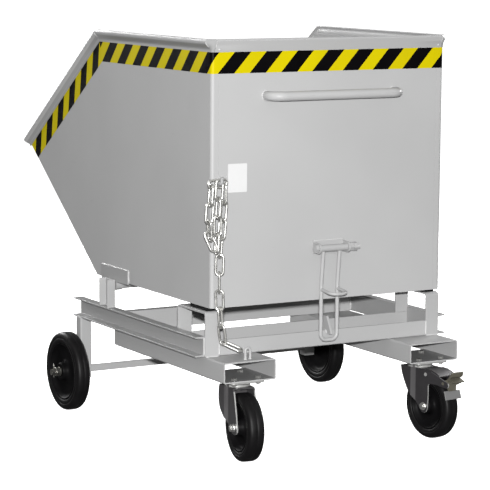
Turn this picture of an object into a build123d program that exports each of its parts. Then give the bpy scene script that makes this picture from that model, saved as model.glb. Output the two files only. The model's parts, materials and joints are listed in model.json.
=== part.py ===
from build123d import *
import math
import os

# ---------------------------------------------------------------------------
# Tipping box trolley: a sheet-steel hopper that tips forward about a low
# shaft, on a channel frame with two fork pockets, two large front wheels and
# two swivel castors at the push handle end. Millimetres, +Z up.
# The design coordinates below put the outside of the rear wall at Y = 0 and
# the pour lip towards +Y. The last step moves everything so that the origin
# is on the ground, in the middle of the trolley's outline.
# ---------------------------------------------------------------------------

# hopper
BOX_W = 800.0            # outside width
SHEET = 3.0              # sheet thickness
BOX_Z0 = 440.0           # underside of the floor
RIM_Z = 1193.0           # bend line of the top rim
FLOOR_Y1 = 748.0         # front bottom corner
LIP = (1257.3, 820.8)    # end of the front wall, (y, z)
TOP_Y1 = 731.8           # top front corner of the side, at the bend line
CORNER_R = 10.0          # rear corner bend
RETURN_X = 376.0         # seam between the side's return and the rear wall
RIM_OUT = 13.0           # rim flare, outwards
RIM_UP = 23.0            # rim flare, away from the edge
RIM_PAST = 10.0          # the rim runs this far past the front wall

# push handle
HANDLE_R = 14.0
HANDLE_WALL = 2.6
HANDLE_X = 219.0         # half spacing of the two legs
HANDLE_Y = -50.0
HANDLE_Z = 1051.5
HANDLE_BEND = 34.0

# frame
CH_IN = 406.0            # inner face of the channel web
WEB_T = 6.5
CH_X = 438.0             # tip of the channel flanges
CH_Z0, CH_Z1 = 296.0, 356.5
CH_Y0, CH_Y1 = 21.0, 843.0
FLANGE_T0, FLANGE_T1 = 7.0, 5.0   # flange thickness at the root and the tip
POCKET_X0, POCKET_X1 = 234.0, 407.0
POCKET_Z0, POCKET_Z1 = 235.0, 296.0
POCKET_Y0, POCKET_Y1 = -93.0, 610.0
POCKET_FLOOR_Y1 = 80.0   # the pocket is open underneath from here on
POCKET_T = 4.0
POCKET_R = 6.0
STRAP_X0, STRAP_X1 = 363.0, 409.0
STRAP_T = 7.0
STRAP_Y0, STRAP_Y1 = 14.0, 188.0
STRAP_Z1 = 429.0
BEAM_Z1 = 343.0          # top of the two rear beams
BEAM_T = 6.0
BEAM_LEG = 40.0
FRONT_BEAM_Y0, FRONT_BEAM_Y1 = 510.0, 540.0
POST_Y0, POST_Y1 = 605.0, 665.0
POST_X0, POST_X1 = 407.0, 434.0
POST_Z1 = 443.0
LEG_X0, LEG_X1 = 400.8, 440.0
LEG_Y0, LEG_Y1 = 787.0, 822.0
LEG_Z0 = 100.0
LEG_T = 3.0
AXLE_Y, AXLE_Z = 808.5, 125.0
AXLE_R = 10.0
BAR = 20.0               # square axle bar
BAR_Z = 126.6
BUFFER_Y0, BUFFER_Y1 = 27.0, 128.0
BUFFER_LIP_Z = 396.0     # lower edge of the lip on the buffer's inner side

# tipping pivot
PIVOT_Y, PIVOT_Z = 635.0, 424.0
PIVOT_R = 10.0
PIVOT_TUBE_R = 15.0
LUG_W = 38.0
PLATE_T = 5.0
PLATE_Y0, PLATE_Y1 = 523.0, 712.0
PLATE_Z0, PLATE_Z1 = 436.0, 481.0

# latch
LATCH_X = -8.0           # middle of the bail
LATCH_Y, LATCH_Z = -28.0, 597.0   # hinge bolt
BAIL_R = 6.0
BAIL_HALF = 28.0
BAIL_Y = -17.6
BAIL_Z0 = 320.0
BAIL_KNEE_Z = 487.0
GRIP_R = 5.0
GRIP_Y = -80.0
BOLT_R = 8.0

# chain
HOOK_X, HOOK_Z = -388.0, 806.0
HOOK_R = 5.0
LINK_D = 8.0
LINK_L = 68.0            # outside length
LINK_W = 30.0            # outside width

# front wheels
FW_R = 125.0
FW_W = 46.5
FW_X = 475.0
FW_HUB = 58.0

# castors
CASTOR_X, CASTOR_Y = 321.0, -18.5
CW_R = 100.0
CW_W = 50.0
CW_HUB = 58.0
TRAIL = 60.5
FORK_IN, FORK_OUT = 30.0, 34.0
FORK_STEP = 7.0          # the front of each fork side stands this much further out
YAW_L, YAW_R = -7.5, 5.2
CASTOR_BOLT_X, CASTOR_BOLT_Y = 40.0, 52.5    # half spacings
CLEAR = 0.06             # radial running clearance

# ---------------------------------------------------------------------------
nodes = {}


def put(name, shape):
    nodes[name] = shape


def bx(x0, x1, y0, y1, z0, z1):
    return Pos((x0 + x1) / 2, (y0 + y1) / 2, (z0 + z1) / 2) * Box(
        abs(x1 - x0), abs(y1 - y0), abs(z1 - z0))


def cylx(x0, x1, y, z, r):
    return Pos((x0 + x1) / 2, y, z) * Rot(0, 90, 0) * Cylinder(r, abs(x1 - x0))


def cyly(y0, y1, x, z, r):
    return Pos(x, (y0 + y1) / 2, z) * Rot(90, 0, 0) * Cylinder(r, abs(y1 - y0))


def cylz(z0, z1, x, y, r):
    return Pos(x, y, (z0 + z1) / 2) * Cylinder(r, abs(z1 - z0))


def flat(pts):
    return make_face(Polyline(*pts, close=True))


def prism_x(pts, x0, x1):
    """Outline in (y, z), from x0 to x1."""
    return extrude(Plane.YZ.offset(x0) * flat(pts), amount=x1 - x0, dir=(1, 0, 0))


def prism_y(pts, y0, y1):
    """Outline in (x, z), from y0 to y1."""
    pl = Plane(origin=(0, y0, 0), x_dir=(1, 0, 0), z_dir=(0, -1, 0))
    return extrude(pl * flat(pts), amount=y1 - y0, dir=(0, 1, 0))


def prism_z(pts, z0, z1):
    return extrude(Plane.XY.offset(z0) * flat(pts), amount=z1 - z0, dir=(0, 0, 1))


def hexx(x0, x1, y, z, af, turn=0):
    """Hexagon bar along X, af across its flats."""
    r = af / math.sqrt(3)
    pts = [(y + r * math.cos(math.radians(60 * i + turn)),
            z + r * math.sin(math.radians(60 * i + turn))) for i in range(6)]
    return prism_x(pts, x0, x1)


def hexz(z0, z1, x, y, af):
    r = af / math.sqrt(3)
    pts = [(x + r * math.cos(math.radians(60 * i)),
            y + r * math.sin(math.radians(60 * i))) for i in range(6)]
    return prism_z(pts, z0, z1)


def other_side(shape):
    return mirror(shape, about=Plane.YZ)


def one(shape):
    """The single solid of a shape."""
    s = shape.solids()
    return s[0] if len(s) == 1 else shape


def sweep_round(path, r, r_in=0):
    sec = Circle(r) if r_in == 0 else Circle(r) - Circle(r_in)
    return sweep(Plane(origin=path @ 0, z_dir=path % 0) * sec, path)


def turned(profile, x_mid, y, z):
    """Ring turned about the X direction. profile: (offset along X, radius)."""
    pl = Plane(origin=(0, 0, 0), x_dir=(1, 0, 0), z_dir=(0, -1, 0))
    s = revolve(pl * flat(profile), axis=Axis.X)
    return Pos(x_mid, y, z) * s


# --- hopper sheets ----------------------------------------------------------
h = BOX_W / 2
side_outline = [(-1, BOX_Z0), (FLOOR_Y1, BOX_Z0), LIP, (TOP_Y1, RIM_Z), (-1, RIM_Z)]
plan = Plane.XY.offset(BOX_Z0) * flat([
    (-RETURN_X, 0), (-h, 0), (-h, 1300), (-h + SHEET, 1300),
    (-h + SHEET, SHEET), (-RETURN_X, SHEET)])
v_out = plan.vertices().sort_by_distance((-h, 0, BOX_Z0))[0]
plan = fillet(v_out, CORNER_R)
v_in = plan.vertices().sort_by_distance((-h + SHEET, SHEET, BOX_Z0))[0]
plan = fillet(v_in, CORNER_R - SHEET)
bent = extrude(plan, amount=RIM_Z - BOX_Z0, dir=(0, 0, 1))
left_side = one(bent & prism_x(side_outline, -h - 5, -RETURN_X + 5))
put("left_side", left_side)
put("right_side", other_side(left_side))
put("rear_wall", bx(-RETURN_X, RETURN_X, 0, SHEET, BOX_Z0, RIM_Z))

sl = math.atan2(LIP[1] - BOX_Z0, LIP[0] - FLOOR_Y1)      # front wall slope
nrm = (-math.sin(sl), math.cos(sl))                      # into the hopper
inner_corner = (FLOOR_Y1 - SHEET * math.tan(sl / 2), BOX_Z0 + SHEET)
xi = h - SHEET
put("box_floor", prism_x([(SHEET, BOX_Z0), (FLOOR_Y1, BOX_Z0), inner_corner,
                          (SHEET, BOX_Z0 + SHEET)], -xi, xi)
    - bx(-h, -xi + CORNER_R, -1, CORNER_R + SHEET, BOX_Z0 - 1, BOX_Z0 + 9)
    - bx(xi - CORNER_R, h, -1, CORNER_R + SHEET, BOX_Z0 - 1, BOX_Z0 + 9))
put("front_wall", prism_x([(FLOOR_Y1, BOX_Z0), LIP,
                           (LIP[0] + SHEET * nrm[0], LIP[1] + SHEET * nrm[1]),
                           inner_corner], -xi, xi))

# --- flared rim -------------------------------------------------------------
fl = math.hypot(RIM_OUT, RIM_UP)
px, pu = SHEET * RIM_UP / fl, SHEET * RIM_OUT / fl
# section: (outwards, away from the edge)
rim_sec = [(0, 0), (RIM_OUT, RIM_UP), (RIM_OUT - px, RIM_UP + pu),
           (-SHEET, 0)]

# rear run, along X, mitred at 45 degrees
rear = prism_x([(-o, RIM_Z + u) for o, u in rim_sec], -h - 40, h + 40)
mitre_l = prism_z([(-h - 40, -40), (-h + 40, 40), (h - 40, 40), (h + 40, -40)],
                  RIM_Z - 5, RIM_Z + 60)
put("rear_rim", one(rear & mitre_l))

# side run, along Y, then down the sloped edge
sd = (LIP[0] - TOP_Y1, LIP[1] - RIM_Z)
sdl = math.hypot(*sd)
sd = (sd[0] / sdl, sd[1] / sdl)              # along the sloped edge
sn = (-sd[1], sd[0])                          # away from the edge
top_run = prism_y([(-h - o, RIM_Z + u) for o, u in rim_sec], -60, TOP_Y1 + 60)
bis = (sn[0], 1 + sn[1])                      # mitre line in the (y, z) plane
c0 = (TOP_Y1 - 80 * bis[0], RIM_Z - 80 * bis[1])
c1 = (TOP_Y1 + 80 * bis[0], RIM_Z + 80 * bis[1])
before = prism_x([(-300, c0[1]), c0, c1, (-300, c1[1])], -h - 60, -h + 60)
rear_cut = prism_z([(-h - 60, -60), (-h + 60, 60), (-h + 60, 1400), (-h - 60, 1400)],
                   RIM_Z - 5, RIM_Z + 60)
top_run = one(top_run & before & rear_cut)
slope_len = sdl + RIM_PAST
pl = Plane(origin=(0, TOP_Y1 - 60 * sd[0], RIM_Z - 60 * sd[1]), x_dir=(-1, 0, 0),
           z_dir=(0, sd[0], sd[1]))
# local x is outwards on the left side, local y is away from the edge
sec_pts = [(h + o, u) for o, u in rim_sec]
if (pl.y_dir.Y * sn[0] + pl.y_dir.Z * sn[1]) < 0:
    sec_pts = [(a, -b) for a, b in sec_pts]
slope_run = extrude(pl * flat(sec_pts), amount=slope_len + 60 + 30, dir=(0, sd[0], sd[1]))
after = prism_x([c0, c1, (1500, c1[1]), (1500, c0[1] - 900), (c0[0], c0[1] - 900)],
                -h - 60, -h + 60)
# lower end: parallel to the front wall, a little past it
ce = (LIP[0] + RIM_PAST * sd[0], LIP[1] + RIM_PAST * sd[1])
wd = (math.cos(sl), math.sin(sl))
end_keep = prism_x([(ce[0] + 300 * wd[0], ce[1] + 300 * wd[1]),
                    (ce[0] - 300 * wd[0], ce[1] - 300 * wd[1]),
                    (ce[0] - 300 * wd[0] - 900, ce[1] - 300 * wd[1] + 500),
                    (ce[0] + 300 * wd[0] - 900, ce[1] + 300 * wd[1] + 900)],
                   -h - 60, -h + 60)
slope_run = one(slope_run & after & end_keep)
left_rim = one(top_run + slope_run)
put("left_rim", left_rim)
put("right_rim", other_side(left_rim))

# --- push handle ------------------------------------------------------------
hp = FilletPolyline((-HANDLE_X, 0, HANDLE_Z), (-HANDLE_X, HANDLE_Y, HANDLE_Z),
                    (HANDLE_X, HANDLE_Y, HANDLE_Z), (HANDLE_X, 0, HANDLE_Z),
                    radius=HANDLE_BEND)
put("push_handle", one(sweep_round(hp, HANDLE_R, HANDLE_R - HANDLE_WALL)))

# --- tipping pivot on the hopper -------------------------------------------
plate = prism_x([(PLATE_Y0, PLATE_Z0), (PLATE_Y1 - 8, PLATE_Z0), (PLATE_Y1, PLATE_Z0 + 8),
                 (PLATE_Y1, PLATE_Z1), (PLATE_Y0, PLATE_Z1)], -h - PLATE_T, -h)
put("left_hinge_plate", plate)
put("right_hinge_plate", other_side(plate))
lw = LUG_W / 2
lug = bx(-397, -372, PIVOT_Y - lw, PIVOT_Y + lw, PIVOT_Z, BOX_Z0) + cylx(-397, -372, PIVOT_Y, PIVOT_Z, lw)
lug = one(lug & bx(-397, -372, PIVOT_Y - 60, PIVOT_Y + 60, PIVOT_Z - 60, BOX_Z0))
lug = lug - cylx(-410, -360, PIVOT_Y, PIVOT_Z, PIVOT_R + 0.03)
put("pivot_lugs", Compound(children=[one(lug), one(other_side(lug))]))
put("pivot_tube", cylx(-371.5, 371.5, PIVOT_Y, PIVOT_Z, PIVOT_TUBE_R)
    - cylx(-380, 380, PIVOT_Y, PIVOT_Z, PIVOT_R + 0.5))
put("pivot_shaft", cylx(-POST_X0 - WEB_T, POST_X0 + WEB_T, PIVOT_Y, PIVOT_Z, PIVOT_R))

# --- latch on the rear wall -------------------------------------------------
BR_X0, BR_X1 = -56.0, 51.0
bracket = bx(BR_X0, BR_X1, -4, 0, 578, 617)
for a, b in ((BR_X0, BR_X0 + 6), (BR_X1 - 6, BR_X1)):
    ear = bx(a, b, LATCH_Y, -4, 581, 613) + cylx(a, b, LATCH_Y, LATCH_Z, 16)
    bracket = bracket + ear
bracket = bracket - cylx(BR_X0 - 9, BR_X1 + 9, LATCH_Y, LATCH_Z, BOLT_R + 0.1)
put("latch_bracket", one(bracket))
bolt = cylx(BR_X0 - 1, BR_X1 + 38, LATCH_Y, LATCH_Z, BOLT_R) + hexx(BR_X0 - 10, BR_X0 - 0.2, LATCH_Y, LATCH_Z, 24)
put("latch_bolt", one(bolt))
nuts = []
for a in (BR_X1 + 0.3, BR_X1 + 14.3):
    n = hexx(a, a + 13, LATCH_Y, LATCH_Z, 24, 10 if a > BR_X1 + 9 else 0) - cylx(a - 1, a + 15, LATCH_Y, LATCH_Z, BOLT_R + 0.03)
    nuts.append(one(n))
put("latch_nuts", Compound(children=nuts))

# bail that hangs from the bolt
sleeve = cylx(BR_X0 + 7, BR_X1 - 7, LATCH_Y, LATCH_Z, 10.5) - cylx(BR_X0, BR_X1, LATCH_Y, LATCH_Z, BOLT_R + CLEAR)
put("latch_sleeve", sleeve)
xl, xr = LATCH_X - BAIL_HALF, LATCH_X + BAIL_HALF
bp = FilletPolyline((xl, LATCH_Y, LATCH_Z - 7), (xl, BAIL_Y, BAIL_KNEE_Z), (xl, BAIL_Y, BAIL_Z0),
                    (xr, BAIL_Y, BAIL_Z0), (xr, BAIL_Y, BAIL_KNEE_Z), (xr, LATCH_Y, LATCH_Z - 7),
                    radius=[60, 19, 19, 60])
bail = sweep_round(bp, BAIL_R)
gp = FilletPolyline((xl, BAIL_Y, 473), (xl, GRIP_Y, 466), (xr, GRIP_Y, 466), (xr, BAIL_Y, 473), radius=22)
bail = bail + sweep_round(gp, GRIP_R)
bail = bail - cylx(BR_X0, BR_X1, LATCH_Y, LATCH_Z, 10.53)
put("latch_bail", one(bail))

# --- chain hook on the rear corner -----------------------------------------
kp = FilletPolyline((HOOK_X, 0, HOOK_Z), (HOOK_X, -40, HOOK_Z), (HOOK_X, -44, HOOK_Z + 20), radius=7)
put("chain_hook", one(sweep_round(kp, HOOK_R)))

# --- side channels ----------------------------------------------------------
def channel_section(depth0, depth1, z0, z1):
    """Open towards depth1: web at depth0."""
    s = 1 if depth1 > depth0 else -1
    w = depth0 + s * WEB_T
    return [(depth0, z0), (depth1, z0), (depth1, z0 + FLANGE_T1), (w, z0 + FLANGE_T0),
            (w, z1 - FLANGE_T0), (depth1, z1 - FLANGE_T1), (depth1, z1), (depth0, z1)]


left_channel = prism_y(channel_section(-CH_IN, -CH_X, CH_Z0, CH_Z1), CH_Y0, CH_Y1)
put("left_channel", left_channel)
put("right_channel", other_side(left_channel))
xw = CH_IN
put("front_crossbeam", prism_x(channel_section(FRONT_BEAM_Y0, FRONT_BEAM_Y1, CH_Z0, CH_Z1), -xw, xw))


def angle(y, x0, x1):
    return prism_x([(y, POCKET_Z1), (y + BEAM_LEG, POCKET_Z1), (y + BEAM_LEG, POCKET_Z1 + BEAM_T),
                    (y + BEAM_T, POCKET_Z1 + BEAM_T), (y + BEAM_T, BEAM_Z1), (y, BEAM_Z1)], x0, x1)


rear_beam = angle(STRAP_Y0, -STRAP_X0, STRAP_X0)
rear_beam = fillet(rear_beam.edges().filter_by(Axis.X).filter_by(
    lambda e: e.center().Y < STRAP_Y0 + 1 and e.center().Z < POCKET_Z1 + 1), 4.5)
put("rear_beam", one(rear_beam))
put("inner_rear_beam", angle(STRAP_Y1 - STRAP_T, -xw, xw))

# --- fork pockets -----------------------------------------------------------
def pocket():
    w, hh = POCKET_X1 - POCKET_X0, POCKET_Z1 - POCKET_Z0
    pl = Plane(origin=(-(POCKET_X1 + POCKET_X0) / 2, POCKET_Y0, (POCKET_Z0 + POCKET_Z1) / 2),
               x_dir=(1, 0, 0), z_dir=(0, -1, 0))
    sec = RectangleRounded(w, hh, POCKET_R) - RectangleRounded(
        w - 2 * POCKET_T, hh - 2 * POCKET_T, POCKET_R - POCKET_T + 0.5)
    t = extrude(pl * sec, amount=POCKET_Y1 - POCKET_Y0, dir=(0, 1, 0))
    t = t - bx(-POCKET_X1 + POCKET_T, -POCKET_X0 - POCKET_T, POCKET_FLOOR_Y1, POCKET_Y1 + 1,
               POCKET_Z0 - 1, POCKET_Z0 + POCKET_R + 1)
    for sx in (-1, 1):
        for sy in (-1, 1):
            t = t - cylz(POCKET_Z0 - 2, POCKET_Z0 + POCKET_T + 2, -CASTOR_X + sx * CASTOR_BOLT_X,
                         CASTOR_Y + sy * CASTOR_BOLT_Y, 5.5)
    return one(t)


lp = pocket()
put("left_fork_pocket", lp)
put("right_fork_pocket", other_side(lp))

# --- support straps and rubber buffers -------------------------------------
so = STRAP_Z1
strap = prism_x([(STRAP_Y0, POCKET_Z1), (STRAP_Y0 + STRAP_T, POCKET_Z1), (STRAP_Y0 + STRAP_T, so - STRAP_T),
                 (STRAP_Y1 - STRAP_T, so - STRAP_T), (STRAP_Y1 - STRAP_T, BEAM_Z1), (STRAP_Y1, BEAM_Z1),
                 (STRAP_Y1, so), (STRAP_Y0, so)], -STRAP_X1, -STRAP_X0)
edges_out = strap.edges().filter_by(Axis.X).filter_by(
    lambda e: e.center().Z > so - 1)
strap = fillet(edges_out, 12)
edges_in = strap.edges().filter_by(Axis.X).filter_by(
    lambda e: abs(e.center().Z - (so - STRAP_T)) < 0.5 and STRAP_Y0 + 2 < e.center().Y < STRAP_Y1 - 2)
strap = fillet(edges_in, 5)
strap = strap - bx(-STRAP_X1 - 1, -xw, STRAP_Y1 - STRAP_T - 5, STRAP_Y1 + 5, 200, CH_Z1)
put("left_strap", one(strap))
put("right_strap", one(other_side(strap)))
bufs = []
for s in (-1, 1):
    b = bx(s * (STRAP_X0 - 6), s * 398, BUFFER_Y0, BUFFER_Y1, so, BOX_Z0 - 0.3)
    if s < 0:
        # the left one is a wider strip that folds down beside its strap
        b = b + bx(s * (STRAP_X0 - 6), s * (STRAP_X0 - 0.2), BUFFER_Y0, STRAP_Y1 - 10, BUFFER_LIP_Z, so + 4)
    bufs.append(one(b))
put("rubber_buffers", Compound(children=bufs))

# --- tilt posts -------------------------------------------------------------
post_sec = [(-POST_X0, POST_Y0), (-POST_X1, POST_Y0), (-POST_X1, POST_Y0 + FLANGE_T1),
            (-POST_X0 - WEB_T, POST_Y0 + FLANGE_T0), (-POST_X0 - WEB_T, POST_Y1 - FLANGE_T0),
            (-POST_X1, POST_Y1 - FLANGE_T1), (-POST_X1, POST_Y1), (-POST_X0, POST_Y1)]
post = prism_z(post_sec, CH_Z1, POST_Z1) - cylx(-CH_X, -POST_X0 + 20, PIVOT_Y, PIVOT_Z, PIVOT_R + CLEAR)
put("left_tilt_post", one(post))
put("right_tilt_post", one(other_side(post)))

# --- front legs, axle bar and stub axles -----------------------------------
leg = bx(-LEG_X1, -LEG_X0, LEG_Y0, LEG_Y1, LEG_Z0, CH_Z0)
leg = fillet(leg.edges().filter_by(Axis.Z), 4)
leg = leg - bx(-LEG_X1 + LEG_T, -LEG_X0 - LEG_T, LEG_Y0 + LEG_T, LEG_Y1 - LEG_T, LEG_Z0 - 1, CH_Z0 + 1)
leg = leg - cylx(-LEG_X1 - 5, -LEG_X0 + 5, AXLE_Y, AXLE_Z, AXLE_R + 0.03)
put("left_leg", one(leg))
put("right_leg", one(other_side(leg)))
ax_bar = bx(-LEG_X0, LEG_X0, AXLE_Y - BAR / 2, AXLE_Y + BAR / 2, BAR_Z - BAR / 2, BAR_Z + BAR / 2)
put("axle_bar", ax_bar)
hub_out = FW_X + FW_HUB / 2
PIN_X = hub_out + 21.0
stub = cylx(-(hub_out + 30), -LEG_X0, AXLE_Y, AXLE_Z, AXLE_R)
stub = stub - cylz(AXLE_Z - 20, AXLE_Z + 20, -PIN_X, AXLE_Y, 1.8)
put("left_stub_axle", one(stub))
put("right_stub_axle", one(other_side(stub)))
ws, ns = [], []
for s in (-1, 1):
    a0, a1 = LEG_X1 + 0.2, FW_X - FW_HUB / 2 - 0.5
    w1 = cylx(s * a0, s * a1, AXLE_Y, AXLE_Z, 17) - cylx(s * (a0 - 1), s * (a1 + 1), AXLE_Y, AXLE_Z, AXLE_R + 0.03)
    b0, b1 = hub_out + 0.5, hub_out + 3.5
    w2 = cylx(s * b0, s * b1, AXLE_Y, AXLE_Z, 15) - cylx(s * (b0 - 1), s * (b1 + 1), AXLE_Y, AXLE_Z, AXLE_R + 0.03)
    ws += [one(w1), one(w2)]
    # retaining nut with a split pin behind it
    c0_, c1_ = hub_out + 3.7, hub_out + 16.0
    n = hexx(s * c0_, s * c1_, AXLE_Y, AXLE_Z, 26) - cylx(s * (c0_ - 1), s * (c1_ + 1), AXLE_Y, AXLE_Z, AXLE_R + 0.03)
    ns.append(one(n))
put("axle_washers", Compound(children=ws))
put("axle_nuts", Compound(children=ns))
pins = []
for s in (-1, 1):
    pin = cylz(AXLE_Z - 17, AXLE_Z + 18, s * PIN_X, AXLE_Y, 1.7)
    pin = pin + Pos(s * PIN_X, AXLE_Y, AXLE_Z + 20.5) * Rot(0, 90, 0) * Torus(3.2, 1.7)
    pins.append(one(pin))
put("split_pins", Compound(children=pins))

# --- latch tongue on the rear beam -----------------------------------------
tongue = prism_x([(STRAP_Y0, 331), (-11, 332), (-11, 339), (15, 386), (34, 386), (34, BEAM_Z1),
                  (STRAP_Y0, BEAM_Z1)], 3, 11)
put("latch_tongue", tongue)

# --- chain staple on the left pocket ---------------------------------------
EYE_X, EYE_Y = -311.0, -62.0
ep = FilletPolyline((EYE_X - 8, EYE_Y, POCKET_Z1), (EYE_X - 8, EYE_Y, POCKET_Z1 + 32),
                    (EYE_X + 8, EYE_Y, POCKET_Z1 + 32), (EYE_X + 8, EYE_Y, POCKET_Z1), radius=7.9)
put("chain_staple", one(sweep_round(ep, 4.0)))

# --- safety chain -----------------------------------------------------------
ls = (LINK_L - LINK_W) / 2          # half length of a link's straight sides
lr = (LINK_W - LINK_D) / 2          # radius of its ends
_c = [Line((lr, -ls), (lr, ls)), RadiusArc((lr, ls), (-lr, ls), -lr),
      Line((-lr, ls), (-lr, -ls)), RadiusArc((-lr, -ls), (lr, -ls), -lr)]
link_solid = one(sweep(Plane(origin=(lr, 0, 0), x_dir=(1, 0, 0), z_dir=(0, 1, 0)) * Circle(LINK_D / 2),
                       Wire([Line((lr, 0), (lr, ls)), _c[1], _c[2], _c[3], Line((lr, -ls), (lr, 0))])))


def unit(v):
    n = math.sqrt(sum(c * c for c in v))
    return tuple(c / n for c in v)


def link(centre, along, normal):
    """A link with its length along one direction and its plane's normal near another."""
    a = unit(along)
    d = sum(p * q for p, q in zip(normal, a))
    n = unit(tuple(p - d * q for p, q in zip(normal, a)))
    xd = (a[1] * n[2] - a[2] * n[1], a[2] * n[0] - a[0] * n[2], a[0] * n[1] - a[1] * n[0])
    return Plane(origin=centre, x_dir=xd, z_dir=n).location * link_solid


# Each link: middle, direction of its length, normal of its plane. The first
# one lies across the hook; the main strand runs down to the staple and the
# spare end hangs beside it as a loop that is hung up again on the hook.
LINK_LIFT = 0.8
chain = [
    ((-388.0, -16.8, 804.0), (0.998, 0.0, 0.06), (0, 1, 0)),
    # main strand
    ((-366.5, -16.8, 773.0), (0.017, 0.0, -1.0), (1, 0, 0.017)),
    ((-368.1, -16.6, 721.8), (-0.092, 0.009, -0.996), (-0.26, 0.965, 0.032)),
    ((-373.1, -16.5, 670.7), (-0.1, -0.004, -0.995), (0.86, 0.502, -0.088)),
    ((-377.6, -17.0, 619.6), (-0.077, -0.007, -0.997), (-0.692, 0.72, 0.048)),
    ((-380.5, -17.0, 568.4), (-0.034, 0.0, -0.999), (0.544, 0.839, -0.018)),
    ((-381.1, -16.9, 517.0), (0.007, 0.009, -1.0), (-0.871, 0.492, -0.002)),
    ((-380.0, -16.8, 465.7), (0.035, 0.001, -0.999), (0.667, 0.744, 0.024)),
    ((-377.2, -17.2, 414.5), (0.075, -0.008, -0.997), (-0.579, 0.814, -0.049)),
    ((-371.1, -17.0, 363.5), (0.153, -0.002, -0.988), (0.91, 0.39, 0.14)),
    # last link, leading to the staple
    ((-348.5, -36.6, 330.9), (0.705, -0.602, -0.374), (0.144, -0.395, 0.907)),
    # spare end, hanging past the corner
    ((-410.4, -16.8, 771.0), (-0.088, -0.001, -0.996), (0.996, 0, -0.088)),
    ((-414.6, -16.9, 720.1), (-0.074, -0.003, -0.997), (-0.001, 1, -0.003)),
    ((-413.7, -16.6, 669.4), (0.097, 0.005, -0.995), (0.995, -0.016, 0.097)),
    ((-412.0, -22.6, 639.0), (0.345, -0.217, -0.913), (0.117, 0.975, -0.188)),
    # and back up to the hook
    ((-388.1, -26.6, 786.1), (-0.049, 0.001, -0.999), (0, 1, 0.001)),
    ((-391.1, -26.7, 735.0), (-0.061, -0.002, -0.998), (0.998, 0, -0.061)),
    ((-393.3, -27.5, 684.1), (0.005, 0.011, -1.0), (0.01, 1, 0.011)),
    ((-394.8, -26.4, 633.1), (-0.063, -0.017, -0.998), (0.998, -0.018, -0.062)),
]
links = [link((c[0], c[1], c[2] + LINK_LIFT), d, n) for c, d, n in chain]
put("safety_chain", Compound(children=[one(l) for l in links]))
CHAIN_LINKS = len(links)


# --- wheels -----------------------------------------------------------------
def tyre(r, w, r_in):
    s = w / 2
    prof = [(-s + 1, r_in), (s - 1, r_in), (s, r_in + 4), (s, r - 11), (s - 2.2, r - 5), (s - 7, r - 1.2),
            (s - 14, r), (-s + 14, r), (-s + 7, r - 1.2), (-s + 2.2, r - 5), (-s, r - 11), (-s, r_in + 4)]
    return prof


def hub(w, r_out, hub_w, hub_r, bore):
    """Rim with a dished web and a long boss."""
    s, q = w / 2 - 1, hub_w / 2
    return [(-q, bore), (q, bore), (q, hub_r - 2), (q - 2, hub_r), (9, hub_r + 7), (7, hub_r + 10),
            (7, r_out - 20), (s - 3, r_out - 7), (s, r_out - 6), (s, r_out), (-s, r_out), (-s, r_out - 6),
            (-s + 3, r_out - 7), (-7, r_out - 20), (-7, hub_r + 10), (-9, hub_r + 7), (-q + 2, hub_r), (-q, hub_r - 2)]


for name, s in (("left", -1), ("right", 1)):
    put(f"{name}_front_tyre", turned(tyre(FW_R, FW_W, 92), s * FW_X, AXLE_Y, AXLE_Z))
    put(f"{name}_front_rim", turned(hub(FW_W, 92, FW_HUB, 26, AXLE_R + CLEAR), s * FW_X, AXLE_Y, AXLE_Z))

# --- castors ----------------------------------------------------------------
Z_TOP = POCKET_Z0
Z_PLATE = Z_TOP - 6
Z_CUP = Z_TOP - 15.5
Z_CROWN = Z_TOP - 22
KING_R = 8.0
AX_R = 6.0


def place(shape, side):
    yaw = YAW_L if side < 0 else YAW_R
    return Pos(side * CASTOR_X, CASTOR_Y, 0) * Rot(0, 0, yaw) * shape


def castor_plate():
    p = RectangleRounded(110, 138, 10)
    p = extrude(Plane.XY.offset(Z_PLATE) * p, amount=6, dir=(0, 0, 1))
    for sx in (-1, 1):
        for sy in (-1, 1):
            p = p - cylz(Z_PLATE - 1, Z_TOP + 1, sx * CASTOR_BOLT_X, sy * CASTOR_BOLT_Y, 5.5)
    cup = Pos(0, 0, (Z_CUP + Z_PLATE) / 2) * Cone(37, 33, Z_PLATE - Z_CUP)
    king = cylz(Z_CROWN - 10, Z_PLATE + 1, 0, 0, KING_R) + hexz(Z_CROWN - 14, Z_CROWN - 4.5, 0, 0, 24)
    return one(p + cup + king)


def fork_leg(pts, s, y_step):
    """Side of a fork: flat at the axle, stepped outwards in front of y_step."""
    a, b, e = s * FORK_IN, s * FORK_OUT, s * FORK_STEP
    strip = prism_z([(a, -200), (b, -200), (b, y_step), (b + e, y_step + 16), (b + e, 80), (a + e, 80),
                     (a + e, y_step + 17.5), (a, y_step + 1.5)], 60, Z_CROWN)
    leg_ = strip & prism_x(pts, -60, 60)
    x0, x1 = min(a, b), max(a, b)
    leg_ = leg_ + cylx(x0, x1, -TRAIL, CW_R, 18)
    return one(leg_ - cylx(x0 - 1, x1 + 1, -TRAIL, CW_R, AX_R + 0.03))


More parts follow.
